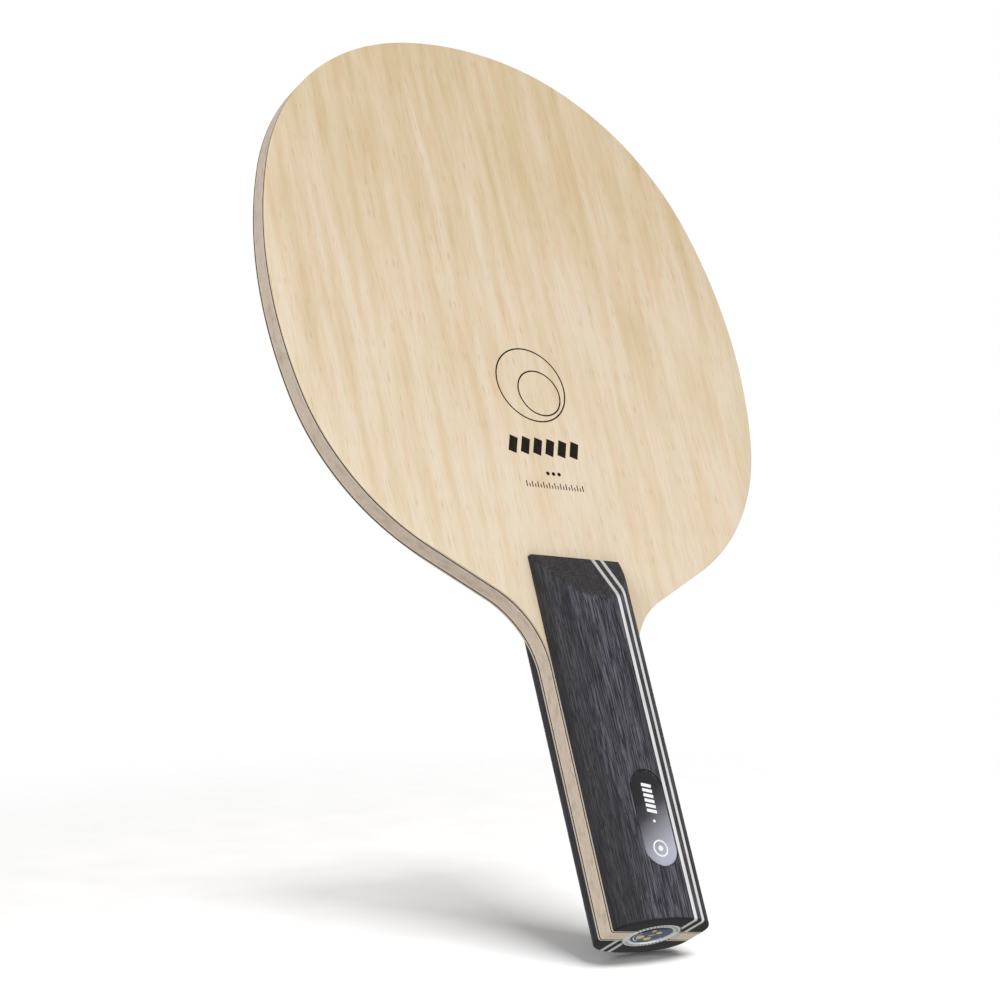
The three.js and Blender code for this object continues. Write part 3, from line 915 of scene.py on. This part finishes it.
def make_face_marks():
    """Plain marks on the front face: nested rings, a row of slanted bars, dots and fine ticks."""
    low, high = FACE_Y + INK_IN_WOOD, FACE_Y - INK_HEIGHT
    rings = [stroke(circle(*ring), RING_LINE, low, high, closed=True) for ring in FACE_RINGS]
    bar_size = (FACE_BAR_FOOT, FACE_BAR_TOP, FACE_BAR_WIDTH, low, high, FACE_BAR_LEAN)
    bars = [bar(x, *bar_size) for x in FACE_BAR_XS]
    dots = [dot(*place, low, high) for place in FACE_DOTS]
    tall = [bar(x, TICK_FOOT, TALL_TICK_TOP, TICK_WIDTH, low, high) for x in TALL_TICK_XS]
    short = [bar(x, TICK_FOOT, SHORT_TICK_TOP, TICK_WIDTH, low, high) for x in SHORT_TICK_XS]
    make_piece("face-print", join(rings + bars + dots + tall + short), print_ink(), "print_ink")


# Marks on the badge: heights up the blade and sizes, in millimetres
BADGE_BAR_HEIGHTS = np.arange(35.0, 27.5, -1.35)
BADGE_BAR_REACH = 1.45  # to either side of the badge's middle
BADGE_BAR_DROP = 0.5
BADGE_BAR_WIDTH = 0.85
BADGE_DOT_HEIGHT, BADGE_DOT_RADIUS = 25.4, 0.4
BADGE_RING_HEIGHT, BADGE_RING_RADIUS, RING_DOT_RADIUS = 18.3, 2.0, 0.7


def make_badge_marks():
    """Plain marks on the badge's plate: a column of bars and a dot, and a ring with a dot in it at
    the foot."""
    low, high = PLATE_FRONT + INK_IN_PLATE, PLATE_FRONT - INK_HEIGHT
    left, right = BADGE_X - BADGE_BAR_REACH, BADGE_X + BADGE_BAR_REACH
    ring = circle(BADGE_X, BADGE_RING_HEIGHT, BADGE_RING_RADIUS)
    marks = [
        stroke([(left, z), (right, z - BADGE_BAR_DROP)], BADGE_BAR_WIDTH, low, high)
        for z in BADGE_BAR_HEIGHTS
    ]
    marks += [
        dot(BADGE_X, BADGE_DOT_HEIGHT, BADGE_DOT_RADIUS, low, high),
        stroke(ring, RING_LINE, low, high, closed=True),
        dot(BADGE_X, BADGE_RING_HEIGHT, RING_DOT_RADIUS, low, high),
    ]
    white = pale_print("badge_marks_white_print", "#DADADC")
    make_piece("badge-print", join(marks), white, "print_ink")


# ---- Medallion ----------------------------------------------------------------------------------

MEDALLION_FACE = low_corner("medallion_cup")[2]
CUP_FLOOR = high_corner("medallion_disc")[2]
DISC_FACE = low_corner("medallion_disc")[2]
DISC_RADIUS = high_corner("medallion_disc")[0]
RIM_INSIDE = DISC_RADIUS + POCKET_GAP
RIM_ROUNDING = 0.18

# Marks on the disc: X, Y and radius, and radius, start and end in degrees. On the rim: degrees
GOLD_DOTS = [(-2.4, 1.5, 1.15), (0.4, 2.4, 1.05), (1.3, -1.5, 0.75), (-0.9, -2.6, 0.6)]
GOLD_DASH = [(-0.6, 0.5), (0.8, -0.5)]
GOLD_DASH_WIDTH = 0.5
PALE_ARCS = [(4.5, 110, 215), (3.7, 125, 200), (4.5, 20, 60)]
PALE_LINE = 0.22
RIM_TICK_ANGLES = [*range(205, 336, 8), *range(35, 146, 8)]
RIM_TICK_FROM, RIM_TICK_TO = RIM_INSIDE + 0.55, MEDALLION_RADIUS - 0.5
RIM_TICK_WIDTH = 0.24


def lying(shape):
    """A flat mark in X and Z, laid over to lie in X and Y with its depth along Z."""
    points, faces = shape
    return np.stack([points[:, 0], points[:, 2], points[:, 1]], 1), faces


def rim_profile():
    """Section of the medallion's cup from the middle out: its floor, the wall inside the rim, a
    flat face between two roundings, the wall outside and the underside. A rounding is a quarter
    of a circle."""
    turn = np.radians([0, 30, 60, 90])
    aside = RIM_ROUNDING * (1 - np.sin(turn))
    height = MEDALLION_FACE + RIM_ROUNDING * (1 - np.cos(turn))
    inner = np.stack([RIM_INSIDE + aside, height], 1)
    outer = np.stack([MEDALLION_RADIUS - aside, height], 1)
    return [
        (0, CUP_FLOOR), (RIM_INSIDE, CUP_FLOOR), *inner[::-1].tolist(), *outer.tolist(),
        (MEDALLION_RADIUS, MEDALLION_DEPTH), (0, MEDALLION_DEPTH)
    ]


def make_medallion(resin):
    """Silver cup, navy disc with gold and pale marks, and a domed resin lens over it."""
    cup = turned(rim_profile())
    make_piece("medallion-cup", cup, satin_silver(), "medallion_rim", "medallion_cup")
    disc = [(0, DISC_FACE), (DISC_RADIUS, DISC_FACE), (DISC_RADIUS, CUP_FLOOR), (0, CUP_FLOOR)]
    make_piece("medallion-disc", turned(disc), navy_print(), "medallion_disc", "medallion_disc")
    radii = DISC_RADIUS * np.sin(np.radians(np.linspace(0, 90, 9)))
    fall = (DISC_FACE - MEDALLION_FACE) / 2  # of the dome at its border, by the fourth power
    dome = MEDALLION_FACE + fall * (radii / DISC_RADIUS) ** 4
    foot = DISC_FACE - LENS_GAP
    lens = [*zip(radii.tolist(), dome.tolist()), (DISC_RADIUS, foot), (0, foot)]
    make_piece("medallion-lens", turned(lens), resin, "clear_resin", "medallion_lens")
    make_medallion_marks()


def arc_path(radius, start, end, steps=24):
    """Points along part of a circle about the middle, between two angles in degrees."""
    angle = np.radians(np.linspace(start, end, steps))
    return np.stack([radius * np.cos(angle), radius * np.sin(angle)], 1)


def spoke(degrees):
    """The two ends of a tick on the rim, which points away from the middle."""
    way = np.array([math.cos(math.radians(degrees)), math.sin(math.radians(degrees))])
    return [RIM_TICK_FROM * way, RIM_TICK_TO * way]


def make_medallion_marks():
    """Plain marks: gold dots, a dash and pale arcs on the disc, and fine ticks on the rim."""
    low, high = DISC_FACE + INK_IN_PLATE, DISC_FACE - INK_HEIGHT
    gold = [dot(*place, low, high) for place in GOLD_DOTS]
    gold.append(stroke(GOLD_DASH, GOLD_DASH_WIDTH, low, high))
    make_piece("medallion-gold-print", lying(join(gold)), gold_print(), "medallion_disc")
    pale = [stroke(arc_path(*arc), PALE_LINE, low, high) for arc in PALE_ARCS]
    silver = pale_print("medallion_arcs_pale_print", "#C9D3DA")
    make_piece("medallion-pale-print", lying(join(pale)), silver, "medallion_disc")
    low, high = MEDALLION_FACE + INK_IN_PLATE, MEDALLION_FACE - INK_HEIGHT
    ticks = [stroke(spoke(degrees), RIM_TICK_WIDTH, low, high) for degrees in RIM_TICK_ANGLES]
    make_piece("medallion-rim-ticks", lying(join(ticks)), print_ink(), "medallion_rim")


# ---- Stage, light and camera --------------------------------------------------------------------

CAMERA_PLACE = Vector((-489.25, -573.01, -215.57)) * MM
CAMERA_AIM = Vector((4.63, 25.16, 131.95)) * MM
CAMERA_ROLL = 12.77  # degrees, clockwise
FOCAL_LENGTH = 115.17
SENSOR_WIDTH = 36
NEAREST_SEEN = 0.01  # metres from the camera
FLOOR_NORMAL = Vector((-0.134, -0.508, 0.851)).normalized()  # seen from 5 degrees above it
FLOOR_RADIUS = 0.34
FADE_RADIUS = 0.18  # where the floor starts to fade out
HANDLE_MIDDLE = Vector((0, 0, 0.04))
HANDLE_END = Vector((0, 0, 0))
HEAD_MIDDLE = Vector((0, 0, 0.13))
BRIGHT_SIDE = Vector((-0.45, -0.75, 0.5)).normalized()  # where the room is brightest
ROOM_LOW, ROOM_HIGH = 0.28, 0.66  # how strongly its darkest and its brightest side light

# Soft boxes: name, what it faces, the way to it from there, metres away, metres wide and high, watts
BLADE_BOXES = [
    ("front_box", HEAD_MIDDLE, (0.2, -0.93, -0.33), 1.2, (0.7, 0.7), 3.7),
    ("left_box", HEAD_MIDDLE, (-0.9, -0.35, 0.35), 1.2, (0.7, 0.7), 4.9),
    ("low_box", HANDLE_END, (-0.3, -0.5, -0.8), 0.35, (0.25, 0.25), 0.5),
    ("back_box", HEAD_MIDDLE, (0.6, 0.75, 0.25), 1.2, (0.7, 0.7), 6.5),
]
FLOOR_BOX = ("floor_box", HANDLE_MIDDLE, (0.03, -0.92, 0.34), 1.2, (0.8, 0.35), 18)


def white_floor():
    """Matt white paper sweep, which fades into the white room. It shows from above only, so that
    it never hides the object."""
    material, tree, place = new_material("floor_white_paper")
    tooth = add(tree, "TexNoise", {"Vector": place, "Scale": 60.0, "Detail": 2.0})
    colour = add(tree, "ValToRGB", {"Fac": tooth}, stops=[(0.3, "#E4E4E4"), (0.7, "#E8E8E8")])
    paper = add(tree, "BsdfDiffuse", {"Color": colour})
    clear = add(tree, "BsdfTransparent")
    under = add(tree, "NewGeometry", output="Backfacing")
    away = add(tree, "VectorMath", [place], output="Value", operation="LENGTH")
    faded = add(tree, "MapRange", [away, FADE_RADIUS, FLOOR_RADIUS], interpolation_type="SMOOTHSTEP")
    hidden = add(tree, "Math", [under, faded], operation="MAXIMUM")
    end_tree(tree, add(tree, "MixShader", [hidden, paper, clear]))
    return material


def make_floor():
    """A round sheet that touches the lowest point of the handle's end, tilted as the floor is
    under the leaning blade."""
    normal = np.array(FLOOR_NORMAL)
    depth = min(float((corners_of(piece) @ normal).min()) for piece in PIECES)
    turn = FLOOR_NORMAL.to_track_quat("Z", "Y")
    angle = np.linspace(0, 2 * np.pi, 96, endpoint=False)
    ring = np.stack([np.cos(angle), np.sin(angle), 0 * angle], 1) * FLOOR_RADIUS
    placed = ring @ np.array(turn.to_matrix()).T + normal * depth
    mesh = bpy.data.meshes.new("floor")
    mesh.from_pydata(placed.tolist(), [], [list(range(len(placed)))])
    mesh.materials.append(white_floor())
    floor = bpy.data.objects.new("floor", mesh)
    bpy.context.scene.collection.objects.link(floor)
    floor.visible_diffuse = False
    floor.visible_glossy = False
    floor.visible_transmission = False
    floor.visible_shadow = False
    return floor


def corners_of(piece):
    """A piece's corners as an array, in metres."""
    flat = np.zeros(len(piece.data.vertices) * 3)
    piece.data.vertices.foreach_get("co", flat)
    return flat.reshape(-1, 3)


def group(name, members):
    """A collection outside the scene, which says what a light reaches."""
    made = bpy.data.collections.new(name)
    for member in members:
        made.objects.link(member)
    return made


def soft_box(name, aim, direction, distance, size, power, lights, shaded_by=None):
    """A studio light that faces a point and lights only one group, and which a group may shade."""
    lamp = bpy.data.lights.new(name, "AREA")
    lamp.shape = "RECTANGLE"
    lamp.size, lamp.size_y = size
    lamp.energy = power
    light = bpy.data.objects.new(name, lamp)
    away = Vector(direction).normalized()
    light.location = aim + away * distance
    light.rotation_mode = "QUATERNION"
    light.rotation_quaternion = (-away).to_track_quat("-Z", "Y")
    bpy.context.scene.collection.objects.link(light)
    light.light_linking.receiver_collection = lights
    if shaded_by:
        light.light_linking.blocker_collection = shaded_by


def make_room():
    """A white room. It looks even, and lights the object most from one side."""
    world = bpy.data.worlds.new("studio")
    bpy.context.scene.world = world
    world.use_nodes = True
    tree = world.node_tree
    tree.nodes.clear()
    way = add(tree, "TexCoord", output="Generated")
    towards = add(tree, "VectorMath", [way, tuple(BRIGHT_SIDE)], output="Value", operation="DOT_PRODUCT")
    lighting = add(tree, "MapRange", [towards, -1.0, 1.0, ROOM_LOW, ROOM_HIGH])
    seen = add(tree, "LightPath", output="Is Camera Ray")
    strength = add(tree, "Mix", {"Factor": seen, "A": lighting, "B": 1.0}, data_type="FLOAT")
    room = add(tree, "Background", {"Color": linear("#FFFFFF"), "Strength": strength})
    end_tree(tree, room, "World")


def make_light(floor):
    """Large soft boxes: before the face, beside the left edge, below the handle's end and behind
    the blade, and a wide one for the floor, which gives the handle a dark foot and a long tail."""
    make_room()
    blade = group("lit_object", PIECES)
    handle = group("handle", [p for p in PIECES if "scale" in p.name or "medallion" in p.name])
    ground = group("lit_floor", [floor])
    for box in BLADE_BOXES:
        soft_box(*box, blade)
    soft_box(*FLOOR_BOX, ground, handle)


def make_camera():
    """The viewing camera: below and to the left of the blade's own upright, rolled to the right."""
    lens = bpy.data.cameras.new("camera")
    lens.lens = FOCAL_LENGTH
    lens.sensor_width = SENSOR_WIDTH
    lens.clip_start = NEAREST_SEEN
    camera = bpy.data.objects.new("camera", lens)
    camera.location = CAMERA_PLACE
    level = (CAMERA_AIM - CAMERA_PLACE).to_track_quat("-Z", "Y")
    camera.rotation_mode = "QUATERNION"
    camera.rotation_quaternion = level @ Quaternion((0, 0, 1), math.radians(-CAMERA_ROLL))
    bpy.context.scene.collection.objects.link(camera)
    bpy.context.scene.camera = camera


def main():
    """Builds the whole scene."""
    bpy.context.scene.view_settings.view_transform = "Standard"
    make_blade()
    make_scales(pill_pocket())
    resin = make_badge()
    make_face_marks()
    make_medallion(resin)
    make_light(make_floor())
    make_camera()


main()
